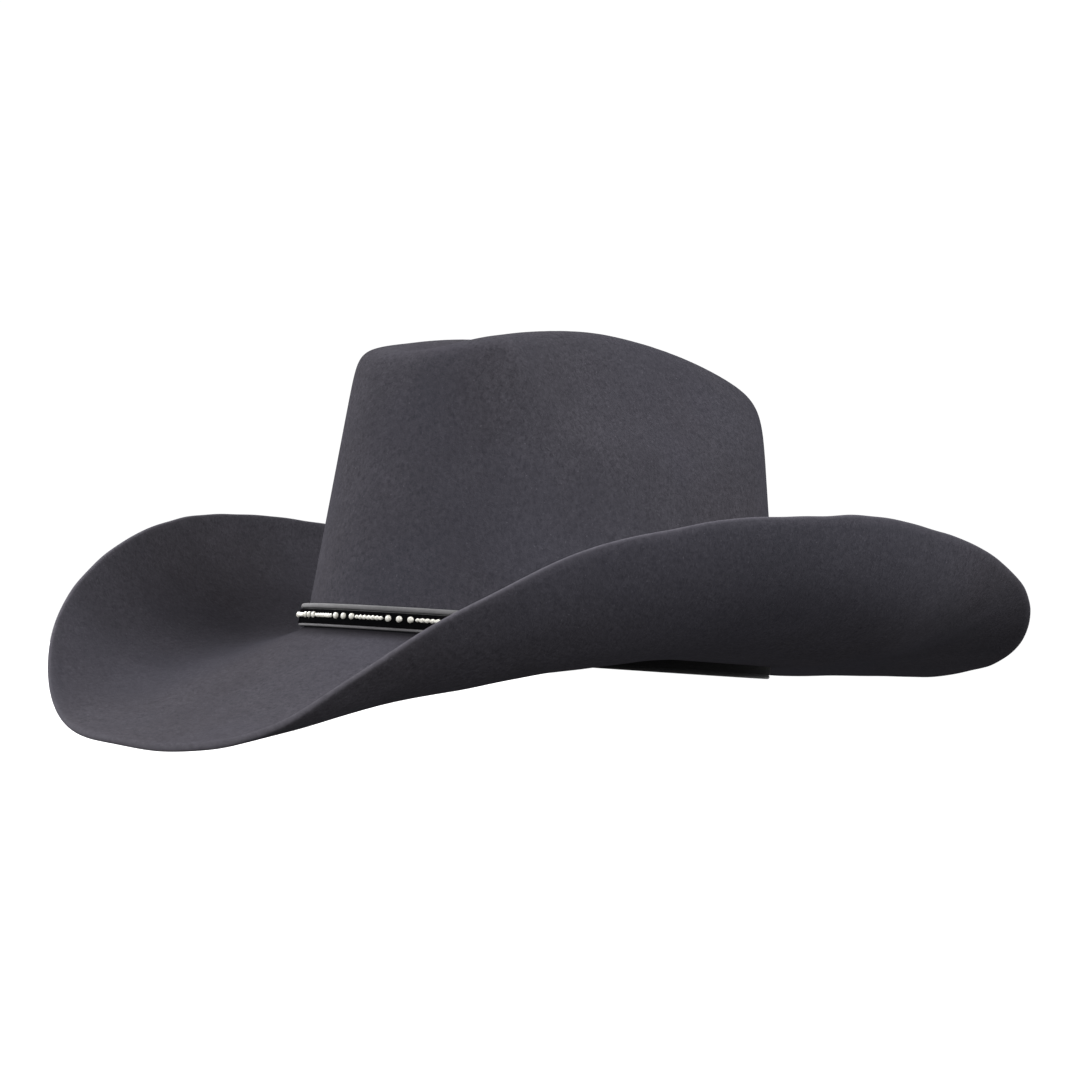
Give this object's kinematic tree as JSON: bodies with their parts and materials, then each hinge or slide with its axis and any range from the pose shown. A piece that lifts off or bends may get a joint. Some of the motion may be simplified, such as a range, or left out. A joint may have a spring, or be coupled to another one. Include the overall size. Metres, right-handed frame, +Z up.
{
  "type": "cowboy hat",
  "caption": "Felt hat with a dented crown and a wide brim curled up at the sides, with a sweatband, lining and a narrow beaded band.",
  "frame": {"origin": "centre of the head opening, on the line where the crown meets the brim", "axes": "+Z up through the crown, -Y to the front of the hat, +X to the wearer's left"},
  "size_m": [0.3288, 0.4074, 0.1671],
  "materials": {
    "felt": "matt wool felt, charcoal grey",
    "sweatband_leather": "smooth black leather, slightly glossy",
    "reed_plastic": "black plastic tube",
    "woven_tape": "woven cotton tape",
    "thread": "grey waxed thread",
    "ribbon": "black satin ribbon",
    "lining_satin": "grey satin",
    "label_paper": "plain off-white woven label",
    "band_grey_leather": "light grey leather",
    "band_black_leather": "black leather",
    "bead_cream": "glossy cream bead",
    "buckle_metal": "polished nickel"
  },
  "bodies": {
    "hat": {"felt_body": "felt", "sweatband": "sweatband_leather", "sweatband_reed": "reed_plastic", "reed_tape": "woven_tape", "sweatband_stitching": "thread", "sweatband_seam_tape": "woven_tape", "sweatband_bow": "ribbon", "lining_side": "lining_satin", "lining_tip": "lining_satin", "size_label": "label_paper"},
    "hat_band": {"band_base": "band_grey_leather", "band_strap": "band_black_leather", "band_studs": "bead_cream", "band_bars": "bead_cream", "strap_end": "band_black_leather", "strap_tip": "buckle_metal", "buckle_chape": "band_black_leather", "buckle_frame": "buckle_metal"},
    "tongue": {"buckle_tongue": "buckle_metal"},
    "keeper": {"band_keeper": "buckle_metal"}
  },
  "joints": [
    {"name": "band_lift", "type": "slide", "parent": "hat", "child": "hat_band", "axis": [0, 0, 1], "range_m": [0, 0.14]},
    {"name": "tongue_swing", "type": "hinge", "parent": "hat_band", "child": "tongue", "pos_m": [0.0893, 0.01864, 0.00599], "axis": [-0.2423, -0.0361, 0.9695], "range_deg": [0, 95]},
    {"name": "keeper_slide", "type": "slide", "parent": "hat_band", "child": "keeper", "axis": [0.2739, -0.9618, 0], "range_m": [-0.002, 0.003]}
  ]
}
